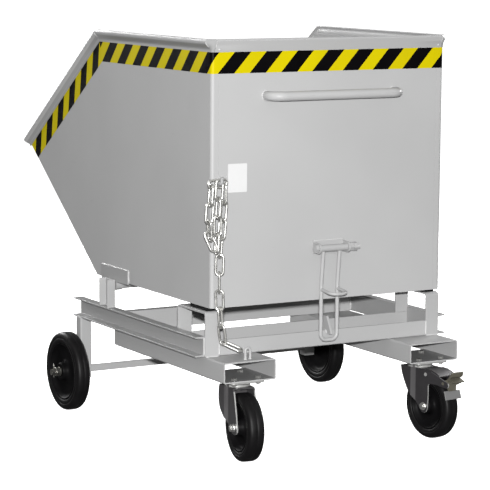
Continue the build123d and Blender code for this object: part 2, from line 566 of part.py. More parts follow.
leg_plain = [(36, Z_CROWN), (40, 204), (42.5, 193), (43.5, 180), (43, 168), (40, 155), (34, 144), (24, 134),
             (12, 126), (-2, 118), (-13, 108.5), (-20, 98), (-34, 88), (-48, 81), (-62, 78.5), (-74, 82),
             (-82, 90), (-84, 99), (-81, 113), (-75, 141), (-66, 174.5), (-57, 205), (-50, Z_CROWN)]
leg_brake = [(41, Z_CROWN), (39.5, 200), (34.5, 186), (27.5, 171), (17.5, 154), (7.5, 140), (-4, 128), (-19, 114),
             (-33, 101), (-44, 89), (-54, 80.5), (-64, 79.5), (-73, 85), (-77, 94), (-79, 108), (-80, 122),
             (-80.5, 150), (-80, 166), (-84, 171), (-94, 173.5), (-118.6, 175), (-146, 173), (-164, 171.5),
             (-171, 174), (-175, 181), (-173, 187.5), (-137, 198), (-94, 210.6), (-74, Z_CROWN)]
# the far side of the braked fork ends close behind the brake's pin
leg_far = leg_brake[:20] + [(-118.6, 175), (-140, 176.6), (-150, 177), (-155, 179), (-157, 184), (-155, 189),
                            (-150, 192), (-137, 198), (-94, 210.6), (-74, Z_CROWN)]


def fork(pts):
    y0, y1 = (-50, 36) if pts is leg_plain else (-74, 41)
    y_step = -16.5 if pts is leg_plain else -22.0
    w0, w1 = FORK_OUT, FORK_OUT + FORK_STEP
    crown = prism_z([(-w0, y0), (w0, y0), (w0, y_step), (w1, y_step + 16), (w1, y1), (-w1, y1),
                     (-w1, y_step + 16), (-w0, y_step)], Z_CROWN - 4, Z_CROWN)
    ring = cylz(Z_CROWN - 4, Z_CUP - 0.5, 0, 0, 38)
    # web between the two sides, in front of the wheel
    web = bx(-w0 - 3, w0 + 3, 16, 19, 172, Z_CROWN - 2)
    f = crown + ring + web
    for s in (-1, 1):
        f = f + fork_leg(leg_far if s > 0 and pts is leg_brake else pts, s, y_step)
    f = f - cylz(Z_CROWN - 40, Z_CUP + 5, 0, 0, KING_R + CLEAR)
    return one(f)


def fork_braked():
    f = fork(leg_brake)
    # cover over the brake, bridging the two sides
    f = f + prism_x([(-72, 209.5), (-93, 206.5), (-127, 196.4), (-131, 201.5), (-124, 206.5), (-113, 211), (-94, 215.4), (-72, 216)],
                    -FORK_IN - 1, FORK_IN + 1)
    # rivet heads on both sides
    for a, b in ((-FORK_OUT - 1.6, -FORK_OUT + 1), (FORK_OUT - 1, FORK_OUT + 1.6)):
        f = f + cylx(a, b, -69, 199, 5.5)
    f = f - cylx(-60, 60, BP_Y, BP_Z, BP_R + CLEAR)
    return one(f)


# brake: rocker pedal on a cross pin behind the wheel
BP_Y, BP_Z, BP_R = -150.0, 184.0, 5.0
put("left_castor_plate", Pos(-CASTOR_X, CASTOR_Y, 0) * castor_plate())
put("right_castor_plate", Pos(CASTOR_X, CASTOR_Y, 0) * castor_plate())
put("left_castor_fork", place(fork(leg_plain), -1))
put("right_castor_fork", place(fork_braked(), 1))


def castor_axle(tip):
    """Bolt with a washer and a nut; tip: how far it stands out past the fork."""
    a = cylx(-FORK_OUT - tip, FORK_OUT + 3, -TRAIL, CW_R, AX_R) + hexx(FORK_OUT + 0.2, FORK_OUT + 8, -TRAIL, CW_R, 19)
    a = a + cylx(-FORK_OUT - 2.2, -FORK_OUT - 0.2, -TRAIL, CW_R, 12) + hexx(-FORK_OUT - tip + 1.5, -FORK_OUT - 2.2, -TRAIL, CW_R, 19, 12)
    return one(a)


put("left_castor_axle", place(castor_axle(14), -1))
put("right_castor_axle", place(castor_axle(8.5), 1))
ct = turned(tyre(CW_R, CW_W, 72), 0, -TRAIL, CW_R)
ch = turned(hub(CW_W, 72, CW_HUB, 22, AX_R + CLEAR), 0, -TRAIL, CW_R)
put("left_castor_tyre", place(ct, -1))
put("left_castor_rim", place(ch, -1))
put("right_castor_tyre", place(ct, 1))
put("right_castor_rim", place(ch, 1))

# pedal with an upper and a lower tread, and a shoe above the tyre
HUB_R = 9.0
pin = cylx(-FORK_OUT + 0.3, FORK_OUT - 0.3, BP_Y, BP_Z, BP_R)
hubp = cylx(-24, 24, BP_Y, BP_Z, HUB_R)
upper = prism_x([(-150, 192), (-161, 201), (-176.6, 220.8), (-179.8, 218.6), (-175.5, 206), (-164.4, 199), (-185, 191.5),
                 (-184, 188.6), (-163, 195.5), (-157, 188), (-156, 180), (-150, 184)], -22, 22)
stem = prism_x([(-158, 183), (-157, 159.5), (-152.5, 158), (-143, 180)], -15.0, 13.0)
lower = prism_x([(-154, 160.5), (-162.5, 135), (-159.6, 134), (-151, 159.5)], -30, 30)
pedal = one(upper + stem + lower + hubp + pin)
put("brake_pedal", place(pedal, 1))
ux, uz = unit((-TRAIL - BP_Y, CW_R - BP_Z))
gap0 = math.hypot(-TRAIL - BP_Y, CW_R - BP_Z) - CW_R      # from the pin to the tyre
tx, tz = -uz, ux


def shoe_pt(along, across):
    return (BP_Y + along * ux + across * tx, BP_Z + along * uz + across * tz)


shoe = prism_x([shoe_pt(4, 0), shoe_pt(9, -8), shoe_pt(gap0 - 1.9, -7), shoe_pt(gap0 - 1.2, 0), shoe_pt(gap0 - 1.4, 12),
                shoe_pt(6, 9)], -15, 15)
shoe = one(shoe - stem - cylx(-40, 40, BP_Y, BP_Z, HUB_R + 0.05))
put("brake_shoe", place(shoe, 1))

# castor bolts, each with its nut
bolts = []
for s in (-1, 1):
    for sx in (-1, 1):
        for sy in (-1, 1):
            x, y = s * CASTOR_X + sx * CASTOR_BOLT_X, CASTOR_Y + sy * CASTOR_BOLT_Y
            b = hexz(POCKET_Z0 + POCKET_T, POCKET_Z0 + POCKET_T + 6.4, x, y, 16)
            b = b + cylz(Z_PLATE - 7, POCKET_Z0 + POCKET_T + 1, x, y, 5.0)
            b = b + hexz(Z_PLATE - 5, Z_PLATE, x, y, 16)
            bolts.append(one(b))
put("castor_bolts", Compound(children=bolts))

# ---------------------------------------------------------------------------
# move the origin to the ground, in the middle of the outline
lo, hi = [1e9] * 3, [-1e9] * 3
for s in nodes.values():
    bb = s.bounding_box()
    for i, (a, b) in enumerate(((bb.min.X, bb.max.X), (bb.min.Y, bb.max.Y), (bb.min.Z, bb.max.Z))):
        lo[i], hi[i] = min(lo[i], a), max(hi[i], b)
SHIFT_X = -(lo[0] + hi[0]) / 2
SHIFT_Y = -(lo[1] + hi[1]) / 2
SHIFT_Z = 0.0
print("outline", [round(v, 2) for v in lo], [round(v, 2) for v in hi], "shift", round(SHIFT_X, 3), round(SHIFT_Y, 3))
print("links", CHAIN_LINKS, "nodes", len(nodes))
os.makedirs("parts", exist_ok=True)
for name, s in nodes.items():
    export_step(Pos(SHIFT_X, SHIFT_Y, SHIFT_Z) * s, f"parts/{name}.step")
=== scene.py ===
import bpy
import bmesh
import json
import math
import random
from mathutils import Matrix, Vector


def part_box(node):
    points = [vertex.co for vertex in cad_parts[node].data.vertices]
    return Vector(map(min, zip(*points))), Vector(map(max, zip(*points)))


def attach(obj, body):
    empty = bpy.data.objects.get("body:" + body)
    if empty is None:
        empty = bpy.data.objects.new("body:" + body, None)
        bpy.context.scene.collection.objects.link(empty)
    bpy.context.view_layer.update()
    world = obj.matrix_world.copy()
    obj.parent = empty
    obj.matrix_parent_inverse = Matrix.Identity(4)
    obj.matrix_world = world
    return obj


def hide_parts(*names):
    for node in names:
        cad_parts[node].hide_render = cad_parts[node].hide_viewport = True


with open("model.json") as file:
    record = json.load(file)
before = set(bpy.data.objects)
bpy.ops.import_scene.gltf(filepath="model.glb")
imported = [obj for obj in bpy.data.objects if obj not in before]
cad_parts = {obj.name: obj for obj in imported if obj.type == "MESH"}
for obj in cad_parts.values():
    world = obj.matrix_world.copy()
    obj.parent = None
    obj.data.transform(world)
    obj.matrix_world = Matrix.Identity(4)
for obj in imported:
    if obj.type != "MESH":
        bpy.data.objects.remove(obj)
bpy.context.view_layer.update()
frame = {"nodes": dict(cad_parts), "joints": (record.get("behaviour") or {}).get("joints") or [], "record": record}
nodes = frame["nodes"]
scene = bpy.context.scene
rng = random.Random(11)

# Design coordinates are millimetres with the rear wall's outside at y = 0.
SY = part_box("rear_wall")[0][1]


def D(x, y, z):
    return Vector((x / 1000.0, y / 1000.0 + SY, z / 1000.0))


joint = {j["name"]: j for j in frame["joints"]}

# ---------------------------------------------------------------------------
# camera
CAM = (-3432.93, -5494.82, 1499.17)
FWD = Vector((0.49213659, 0.8595752, -0.13759381)).normalized()
ROLL = math.radians(0.37)
FOCAL = 2202.22          # in pixels of a 490 pixel frame
right = FWD.cross(Vector((0, 0, 1))).normalized()
up = right.cross(FWD)
r2 = math.cos(ROLL) * right + math.sin(ROLL) * up
u2 = -math.sin(ROLL) * right + math.cos(ROLL) * up
cam_data = bpy.data.cameras.new("camera")
cam = bpy.data.objects.new("camera", cam_data)
scene.collection.objects.link(cam)
cam_data.sensor_width = 36.0
cam_data.sensor_fit = "AUTO"
cam_data.lens = FOCAL * 36.0 / 490.0
cam_data.clip_end = 400.0
m = Matrix((r2, u2, -FWD)).transposed().to_4x4()
m.translation = D(*CAM)
cam.matrix_world = m
scene.camera = cam


# ---------------------------------------------------------------------------
# materials
def new_mat(name):
    mat = bpy.data.materials.new(name)
    mat.use_nodes = True
    nt = mat.node_tree
    bsdf = nt.nodes["Principled BSDF"]
    return mat, nt, bsdf


def N(nt, kind, **kw):
    n = nt.nodes.new(kind)
    for k, v in kw.items():
        setattr(n, k, v)
    return n


def noise(nt, coord, scale, detail=4.0, rough=0.5):
    n = N(nt, "ShaderNodeTexNoise")
    n.inputs["Scale"].default_value = scale
    n.inputs["Detail"].default_value = detail
    n.inputs["Roughness"].default_value = rough
    nt.links.new(coord, n.inputs["Vector"])
    return n.outputs["Fac"]


def stretched(nt, coord, scale):
    mp = N(nt, "ShaderNodeMapping")
    mp.inputs["Scale"].default_value = scale
    nt.links.new(coord, mp.inputs["Vector"])
    return mp.outputs["Vector"]


def ramp(nt, fac, stops):
    r = N(nt, "ShaderNodeValToRGB")
    el = r.color_ramp.elements
    el[0].position, el[0].color = stops[0][0], (*stops[0][1], 1)
    el[1].position, el[1].color = stops[-1][0], (*stops[-1][1], 1)
    for p, c in stops[1:-1]:
        e = el.new(p)
        e.color = (*c, 1)
    nt.links.new(fac, r.inputs["Fac"])
    return r.outputs["Color"]


def mapr(nt, fac, lo, hi, f0=0.0, f1=1.0):
    mr = N(nt, "ShaderNodeMapRange")
    mr.inputs["From Min"].default_value = f0
    mr.inputs["From Max"].default_value = f1
    mr.inputs["To Min"].default_value = lo
    mr.inputs["To Max"].default_value = hi
    nt.links.new(fac, mr.inputs["Value"])
    return mr.outputs["Result"]


def mix(nt, fac, a, b, kind="MIX"):
    mx = N(nt, "ShaderNodeMix", data_type="RGBA", blend_type=kind)
    nt.links.new(fac, mx.inputs[0])
    for sock, v in ((mx.inputs[6], a), (mx.inputs[7], b)):
        if isinstance(v, tuple):
            sock.default_value = (*v, 1)
        else:
            nt.links.new(v, sock)
    return mx.outputs[2]


def bump(nt, bsdf, height, strength, dist):
    b = N(nt, "ShaderNodeBump")
    b.inputs["Strength"].default_value = strength
    b.inputs["Distance"].default_value = dist
    nt.links.new(height, b.inputs["Height"])
    nt.links.new(b.outputs["Normal"], bsdf.inputs["Normal"])


def obj_coord(nt):
    return N(nt, "ShaderNodeTexCoord").outputs["Object"]


def grey_paint(name, base, rough=(0.34, 0.46), spec=0.36):
    """Silver-grey paint: faint cloudiness, orange peel, a few scuffs."""
    mat, nt, b = new_mat(name)
    b.inputs["Specular IOR Level"].default_value = spec
    co = obj_coord(nt)
    big = noise(nt, co, 2.0, 3.0)
    dark = tuple(c * 0.965 for c in base)
    lite = tuple(min(1.0, c * 1.03) for c in base)
    col = ramp(nt, big, [(0.34, dark), (0.66, lite)])
    scuff = noise(nt, stretched(nt, co, (9.0, 9.0, 55.0)), 1.0, 6.0, 0.62)
    spot = mapr(nt, scuff, 0.0, 0.55, 0.68, 0.80)
    col = mix(nt, spot, col, tuple(c * 0.74 for c in base))
    nt.links.new(col, b.inputs["Base Color"])
    fine = noise(nt, co, 9.0, 5.0, 0.6)
    nt.links.new(mapr(nt, fine, rough[0], rough[1], 0.3, 0.7), b.inputs["Roughness"])
    peel = noise(nt, co, 420.0, 2.0)
    bump(nt, b, peel, 0.06, 0.0004)
    return mat


def metal(name, base, rough=(0.22, 0.40), grain=28.0, dull=0.78, metallic=1.0):
    mat, nt, b = new_mat(name)
    b.inputs["Metallic"].default_value = metallic
    co = obj_coord(nt)
    f = noise(nt, co, grain, 5.0, 0.6)
    col = ramp(nt, f, [(0.3, tuple(c * dull for c in base)), (0.7, base)])
    nt.links.new(col, b.inputs["Base Color"])
    f2 = noise(nt, co, grain * 2.5, 4.0, 0.6)
    nt.links.new(mapr(nt, f2, rough[0], rough[1], 0.3, 0.7), b.inputs["Roughness"])
    bump(nt, b, noise(nt, co, 300.0, 3.0), 0.08, 0.0003)
    return mat


def rubber(name, base, rough=(0.42, 0.6), spec=0.5):
    mat, nt, b = new_mat(name)
    co = obj_coord(nt)
    f = noise(nt, co, 24.0, 6.0, 0.6)
    col = ramp(nt, f, [(0.35, base), (0.75, tuple(c * 1.7 + 0.001 for c in base))])
    nt.links.new(col, b.inputs["Base Color"])
    nt.links.new(mapr(nt, noise(nt, co, 40.0, 4.0), rough[0], rough[1], 0.3, 0.7), b.inputs["Roughness"])
    b.inputs["Specular IOR Level"].default_value = spec
    bump(nt, b, noise(nt, co, 520.0, 3.0), 0.12, 0.0004)
    return mat


def film(name, base, worn, rough=(0.30, 0.45), spec=0.16):
    """Printed adhesive tape or label."""
    mat, nt, b = new_mat(name)
    co = obj_coord(nt)
    f = noise(nt, co, 6.0, 5.0, 0.6)
    col = ramp(nt, f, [(0.3, worn), (0.62, base)])
    nt.links.new(col, b.inputs["Base Color"])
    nt.links.new(mapr(nt, noise(nt, co, 30.0, 4.0), rough[0], rough[1], 0.3, 0.7), b.inputs["Roughness"])
    b.inputs["Specular IOR Level"].default_value = spec
    bump(nt, b, noise(nt, co, 160.0, 3.0), 0.05, 0.0003)
    return mat


PAINT = grey_paint("grey_paint", (0.322, 0.322, 0.322), spec=0.18)
FRAME = grey_paint("frame_paint", (0.308, 0.308, 0.308))
# painted shade: a darker copy of the grey paint for the skirt and upper flare of the side rims
FLARE_SHADE = grey_paint("flare_painted_shade", (0.285, 0.285, 0.285))
# painted shade: a still darker copy for the crease of the side rims and for the filled rear corners of the rim
CREASE_SHADE = grey_paint("crease_painted_shade", (0.240, 0.240, 0.240))
# painted highlight: a lighter copy of the grey paint for the rolled edge along the top of the sides
HEM_HIGHLIGHT = grey_paint("hem_painted_highlight", (0.420, 0.420, 0.420), rough=(0.28, 0.36))
# painted shade: darker paint for the inside of the hopper and the inner face of the rim, and much darker for the
# floor of the fork pockets
INSIDE_SHADE = grey_paint("inside_painted_shade", (0.232, 0.232, 0.232), rough=(0.42, 0.55))
POCKET_SHADE = grey_paint("pocket_floor_painted_shade", (0.165, 0.165, 0.165), rough=(0.42, 0.55))
# painted shade: darker copies of the grey paint for the hinge plates and the side channels
HINGE_SHADE = grey_paint("hinge_painted_shade", (0.266, 0.266, 0.266))
CHANNEL_SHADE = grey_paint("channel_painted_shade", (0.262, 0.262, 0.262))
WELD = grey_paint("weld_paint", (0.40, 0.40, 0.398), rough=(0.28, 0.38), spec=0.5)
ZINC = metal("zinc", (0.62, 0.615, 0.59), metallic=0.85)
BOLT = metal("bolt_zinc", (0.54, 0.54, 0.52), rough=(0.24, 0.36), metallic=0.86)
NUT = metal("nut_zinc", (0.42, 0.41, 0.38), rough=(0.20, 0.32), metallic=0.95)
PLATE = metal("zinc_plate", (0.36, 0.36, 0.35), rough=(0.34, 0.5), metallic=0.3)
# painted shade: the forks' dark base stands in for the zinc's dark reflections, and the right fork and the brake shoe
# get a still darker copy
FORK_SHADE = metal("fork_zinc_painted_shade", (0.060, 0.058, 0.060), rough=(0.30, 0.42), grain=14.0, dull=0.85, metallic=0.2)
FORK_R_SHADE = metal("fork_dark_zinc_painted_shade", (0.034, 0.032, 0.034), rough=(0.34, 0.46), grain=14.0, dull=0.85, metallic=0.2)
# painted highlight: a lighter zinc for the forks' bends and the top of the brake's cover
BEND_HIGHLIGHT = metal("fork_bend_painted_highlight", (0.100, 0.097, 0.099), rough=(0.34, 0.46), grain=14.0, dull=0.85, metallic=0.2)
PEDAL = metal("pedal_zinc", (0.132, 0.124, 0.096), rough=(0.3, 0.45), metallic=0.3)
TREAD = grey_paint("tread_grey", (0.132, 0.132, 0.132), rough=(0.4, 0.5))
RUBBER = rubber("rubber", (0.0030, 0.0028, 0.0030), rough=(0.42, 0.54), spec=0.16)
BUFFER = rubber("buffer_rubber", (0.004, 0.004, 0.0042), rough=(0.5, 0.65), spec=0.12)
RIM = rubber("black_rim", (0.0024, 0.0023, 0.0025), rough=(0.42, 0.52), spec=0.04)
YELLOW = film("tape_yellow", (0.446, 0.373, 0.001), (0.415, 0.346, 0.002), spec=0.06)
BLACK = film("tape_black", (0.0015, 0.0013, 0.0016), (0.0028, 0.0025, 0.0028), spec=0.05)
WHITE = film("label_white", (0.515, 0.515, 0.515), (0.485, 0.485, 0.485), rough=(0.4, 0.5))

slot_mat = {"grey_paint": FRAME, "zinc_steel": ZINC, "black_tyre": RUBBER, "black_rim": RIM, "black_rubber": BUFFER}
node_slot = {s["node"]: s["material_slot"] for s in frame["record"]["subparts"]}
own_mat = {"left_castor_fork": FORK_SHADE, "right_castor_fork": FORK_R_SHADE, "brake_shoe": FORK_R_SHADE, "brake_pedal": PEDAL,
           "left_castor_plate": PLATE, "right_castor_plate": PLATE, "latch_bolt": FRAME, "latch_nuts": FRAME,
           "castor_bolts": BOLT, "axle_nuts": NUT, "axle_washers": NUT, "split_pins": NUT,
           "left_stub_axle": NUT, "right_stub_axle": NUT, "left_hinge_plate": HINGE_SHADE, "right_hinge_plate": HINGE_SHADE,
           "left_channel": CHANNEL_SHADE, "right_channel": CHANNEL_SHADE}
for n in ("left_side", "right_side", "rear_wall", "box_floor", "front_wall", "push_handle"):
    own_mat[n] = PAINT
for n, o in nodes.items():
    o.data.materials.clear()
    o.data.materials.append(own_mat.get(n, slot_mat[node_slot[n]]))
    o.data.polygons.foreach_set("material_index", [0] * len(o.data.polygons))

# cut edges of the fork plates, the ring on the crown and the rivet heads get the brighter bare plate metal, with a
# painted highlight on the cut edges and rivet heads; the bends get a lighter zinc as a painted highlight, and so do
# the top faces of the brake's cover, as painted light on top
for s in ("left", "right"):
    o = nodes[f"{s}_castor_fork"]
    ax = Vector(joint[f"{s}_castor_spin"]["axis"]).normalized()
    ay = Vector((0, 0, 1)).cross(ax)
    c = Vector(joint[f"{s}_castor_swivel"]["pos_m"])
    o.data.materials.append(PLATE)
    o.data.materials.append(BEND_HIGHLIGHT)
    bare_or_highlight = []
    for p in o.data.polygons:
        lx, ly = (p.center - c).dot(ax) * 1000.0, (p.center - c).dot(ay) * 1000.0
        z = p.center.z * 1000.0
        edge = abs(p.normal.dot(ax)) < 0.5 and z < 212.5 and p.normal.z < 0.5 and abs(lx) > 29.5
        ring = z > 213.2
        cover_top_light = abs(lx) < 31.5 and ly < -72.5 and p.normal.z > 0.5
        bend_highlight = 0.87 < abs(p.normal.dot(ax)) < 0.96
        rivet = abs(lx) > 34.4 and abs(ly + 69.0) < 6.5 and abs(z - 199.0) < 6.5
        bare_or_highlight.append(2 if cover_top_light or bend_highlight else 1 if edge or ring or rivet else 0)
    o.data.polygons.foreach_set("material_index", bare_or_highlight)

# painted shade: the hopper's inside faces get a darker, rougher paint, and the upward faces at the bottom of the fork
# pockets a much darker one
for n, d in (("left_side", (1, 0, 0)), ("right_side", (-1, 0, 0)), ("rear_wall", (0, 1, 0)), ("box_floor", (0, 0, 1)),
             ("front_wall", (0, -0.6, 0.8)), ("left_fork_pocket", (0, 0, 1)), ("right_fork_pocket", (0, 0, 1))):
    o = nodes[n]
    o.data.materials.append(POCKET_SHADE if "pocket" in n else INSIDE_SHADE)
    low = 0.25 if "pocket" in n else 9.0
    d = Vector(d)
    o.data.polygons.foreach_set("material_index", [1 if p.normal.dot(d) > 0.6 and p.center.z < low else 0 for p in o.data.polygons])

# the lower tread of the pedal is a separate grey plate with bare ends
o = nodes["brake_pedal"]
ax = Vector(joint["right_castor_spin"]["axis"]).normalized()
o.data.materials.append(TREAD)
o.data.materials.append(PLATE)
o.data.polygons.foreach_set("material_index", [0 if p.center.z > 0.1600 else 2 if abs(p.normal.dot(ax)) > 0.7 else 1 for p in o.data.polygons])

# ---------------------------------------------------------------------------
# edges of the carried-over pieces: small rounds, so that they catch the light
ROUND = {
    "left_side": 0.6, "right_side": 0.6, "rear_wall": 0.6, "box_floor": 0.5, "front_wall": 0.6,
    "left_hinge_plate": 1.0, "right_hinge_plate": 1.0, "pivot_lugs": 1.0, "latch_bracket": 0.8,
    "latch_bolt": 0.7, "latch_nuts": 0.7, "left_channel": 1.2, "right_channel": 1.2, "front_crossbeam": 1.2,
    "rear_beam": 1.0, "inner_rear_beam": 1.0, "left_fork_pocket": 0.8, "right_fork_pocket": 0.8,
    "left_strap": 1.2, "right_strap": 1.2, "rubber_buffers": 1.2, "left_tilt_post": 1.0, "right_tilt_post": 1.0,
    "left_leg": 0.6, "right_leg": 0.6, "axle_bar": 1.2, "left_stub_axle": 1.0, "right_stub_axle": 1.0,
    "axle_washers": 0.5, "axle_nuts": 0.9, "latch_tongue": 1.0, "left_castor_plate": 0.9, "right_castor_plate": 0.9,
    "castor_bolts": 0.7, "left_castor_fork": 0.9, "right_castor_fork": 0.9, "left_castor_axle": 0.7,
    "right_castor_axle": 0.7, "brake_pedal": 0.7, "brake_shoe": 0.7, "pivot_shaft": 0.8,
}
for n, w in ROUND.items():
    o = nodes[n]
    me = o.data
    if "custom_normal" in me.attributes:
        me.attributes.remove(me.attributes["custom_normal"])
    me.polygons.foreach_set("use_smooth", [True] * len(me.polygons))
    for e in me.edges:
        e.use_edge_sharp = False
    md = o.modifiers.new("weld", "WELD")
    md.merge_threshold = 0.00002
    md = o.modifiers.new("flat", "DECIMATE")
    md.decimate_type = "DISSOLVE"
    md.angle_limit = math.radians(0.6)
    md = o.modifiers.new("round", "BEVEL")
    md.limit_method = "ANGLE"
    md.angle_limit = math.radians(32)
    md.width = w / 1000.0
    md.segments = 2
    md.use_clamp_overlap = True
    md = o.modifiers.new("normals", "WEIGHTED_NORMAL")
    md.mode = "FACE_AREA"
    md.weight = 60
    md.keep_sharp = True


# ---------------------------------------------------------------------------
# mesh helpers
def piece(name, verts, faces, mats, body, replaces=(), idx=None, sharp=35.0):
    me = bpy.data.meshes.new(name)
    me.from_pydata([tuple(v) for v in verts], [], faces)
    for mt in mats:
        me.materials.append(mt)
    if idx is not None:
        me.polygons.foreach_set("material_index", idx)
    bm = bmesh.new()
    bm.from_mesh(me)
    bmesh.ops.recalc_face_normals(bm, faces=bm.faces)
    bm.to_mesh(me)
    bm.free()
    me.polygons.foreach_set("use_smooth", [True] * len(me.polygons))
    me.set_sharp_from_angle(angle=math.radians(sharp))
    me.update()
    o = bpy.data.objects.new(name, me)
    scene.collection.objects.link(o)
    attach(o, body)
    if replaces:
        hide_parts(*replaces)
    return o


def swept(loops, cap=True):
    """Closed outlines of equal length joined one after the other."""
    n = len(loops[0])
    verts = [v for lp in loops for v in lp]
    faces = []
    for i in range(len(loops) - 1):
        for k in range(n):
            l = (k + 1) % n
            faces.append((i * n + k, i * n + l, (i + 1) * n + l, (i + 1) * n + k))
    if cap:
        faces.append(tuple(range(n)))
        b0 = (len(loops) - 1) * n
        faces.append(tuple(range(b0 + n - 1, b0 - 1, -1)))
    return verts, faces


def lathe(prof, centre, axis, seg):
    """prof: closed outline, (offset along the axis, radius) in millimetres."""
    ax = Vector(axis).normalized()
    e1 = ax.cross(Vector((0, 0, 1))).normalized()
    e2 = ax.cross(e1)
    verts, faces = [], []
    n = len(prof)
    for i in range(seg):
        a = 2 * math.pi * i / seg
        d = math.cos(a) * e1 + math.sin(a) * e2
        for x, r in prof:
            verts.append(centre + ax * (x / 1000.0) + d * (r / 1000.0))
    for i in range(seg):
        j = (i + 1) % seg
        for k in range(n):
            l = (k + 1) % n
            faces.append((i * n + k, i * n + l, j * n + l, j * n + k))
    return verts, faces


# ---------------------------------------------------------------------------
# flared rim: an S-shaped flare with a folded edge and filled rear corners
RIM_Z, TOP_Y1 = 1193.0, 731.8
LIP = (1257.3, 820.8)
sdl = math.hypot(LIP[0] - TOP_Y1, LIP[1] - RIM_Z)
sd = ((LIP[0] - TOP_Y1) / sdl, (LIP[1] - RIM_Z) / sdl)
sn = (-sd[1], sd[0])
wl = math.hypot(LIP[0] - 748.0, LIP[1] - 440.0)
wd = ((LIP[0] - 748.0) / wl, (LIP[1] - 440.0) / wl)
wm = (-wd[1], wd[0])


SKIRT = -13.6            # the flare's lower edge, just above the tape


def flare(u):
    """Sides: a low skirt, a crease and an upright lip."""
    q = min(1.0, max(0.0, (u + 7.0) / 20.0))
    return 0.3 + 12.7 * (3 * q * q - 2 * q * q * q)


def plain(u):
    """Rear: a straight flare."""
    return 0.3 + 12.7 * min(1.0, max(0.0, (u - SKIRT) / (19.0 - SKIRT)))


rim_prof = [(flare(u), u) for u in (SKIRT, -10.0, -7.0, -5.0, -3.0, -1.0, 1.0, 3.0, 5.0, 7.0, 9.0, 11.0, 13.0, 15.0)]
rim_prof += [(13.0, 17.0), (12.8, 18.8), (12.2, 20.6), (11.2, 22.2), (9.8, 23.5), (8.2, 24.2), (6.6, 24.2), (5.4, 23.5), (4.8, 22.4),
             (4.9, 21.0), (6.2, 19.4), (8.2, 18.0), (9.4, 16.2)]
N_OUT = 14               # outline points up to the top of the lip's flat
N_HEM = 21               # and up to the top of the rolled edge
rim_prof += [(flare(u) - 3.2, u) for u in (14.0, 12.0, 10.0, 8.0, 6.0, 4.0, 2.0)]
rim_prof += [(-1.4, 0.0), (-1.4, SKIRT)]


def rim_slope_end(o, u):
    k = 10.0 - u * (sn[0] * wm[0] + sn[1] * wm[1]) / (sd[0] * wm[0] + sd[1] * wm[1])
    return (-400 - o, LIP[0] + u * sn[0] + k * sd[0], LIP[1] + u * sn[1] + k * sd[1])


def rim_knee(o, u):
    return (-400 - o, TOP_Y1 + u * sn[0] / (1 + sn[1]), RIM_Z + u)


def rim_side_end(o, u):
    return (-400 - o, 10.0 + 2.0 * max(o, 0) / 13.0, RIM_Z + u)


def rim_rear_start(o, u):
    o = o + (plain(u) - flare(u)) * (1.0 if o > -1.3 else 0.0)
    return (-390 + 2.0 * max(o, 0) / 13.0, -o, RIM_Z + u)


def rim_patch(f):
    """Corner between the side's end and the rear's start, round at the bottom, flat at the top."""
    def at(o, u):
        a, b = rim_side_end(o, u), rim_rear_start(o, u)
        g = 4.14 * math.sin(math.pi * f) * min(1.0, max(0.0, 1 - (u + 4.0) / 22.0)) / math.sqrt(2)
        return (a[0] + (b[0] - a[0]) * f - g, a[1] + (b[1] - a[1]) * f - g, a[2])
    return at


def flip(fn):
    def at(o, u):
        x, y, z = fn(o, u)
        return (-x, y, z)
    return at


def rim_piece(name, stations, node, painted_light):
    """painted_light(station, outline point) gives the paint of each face: the plain paint, or a painted shade or
    painted highlight.
    """
    loops = [[D(*st(o, u)) for o, u in rim_prof] for st in stations]
    v, f = swept(loops)
    n = len(rim_prof)
    idx = [painted_light(i // n, i % n) for i in range(len(f) - 2)] + [0, 0]
    return piece(name, v, f, [PAINT, FLARE_SHADE, CREASE_SHADE, HEM_HIGHLIGHT, INSIDE_SHADE], "box", (node,), idx, sharp=28.0)


# side runs: painted shade on the flare, deeper painted shade in the crease, a painted highlight on the rolled edge of
# the top run, painted shade on the inner face
def side_painted_light(i, k):
    u = (rim_prof[k][1] + rim_prof[(k + 1) % len(rim_prof)][1]) / 2
    if k >= N_HEM:
        return 4
    if k >= N_OUT:
        return 3 if i >= 6 else 0
    if i >= 6:
        return 1 if u < -6.0 or u > 9.0 else 2
    return 1 if u < -3.0 else 2 if u < 5.0 else 0


# rear: painted shade on the filled corners (the crease's darker paint) and on the inner face
def rear_painted_shade(i, k):
    if k >= N_HEM:
        return 4
    return 2 if i < 6 or i >= 12 else 0


# far side: the same painted light as the near side, but plain paint on the inner face
def far_painted_light(i, k):
    return 0 if k >= N_HEM else side_painted_light(i, k)


def between(a, b, k):
    """k stations spaced evenly from a to b."""
    def mk(t):
        def at(o, u):
            p, q = a(o, u), b(o, u)
            return tuple(p[i] + (q[i] - p[i]) * t for i in range(3))
        return at
    return [mk(i / k) for i in range(k + 1)]


left_st = between(rim_slope_end, rim_knee, 6) + between(rim_knee, rim_side_end, 6)[1:]
rim_piece("left_rim_flare", left_st, "left_rim", side_painted_light)
rim_piece("right_rim_flare", [flip(s) for s in left_st], "right_rim", far_painted_light)
patch = [rim_patch(i / 6) for i in range(7)]
rear_st = patch + between(rim_rear_start, flip(rim_rear_start), 6)[1:-1] + [flip(s) for s in reversed(patch)]
rim_piece("rear_rim_flare", rear_st, "rear_rim", rear_painted_shade)

# ---------------------------------------------------------------------------
# striped tape: each stripe is its own face, two colours
TAPE_Z0, TAPE_H, LEAN = 1117.9, 60.5, 0.912
BAND_H = 61.4            # the band around the top is a touch taller
WIDE = 0.9               # the black stripes are this much wider on each side
ARC = 10.0 * math.pi / 2


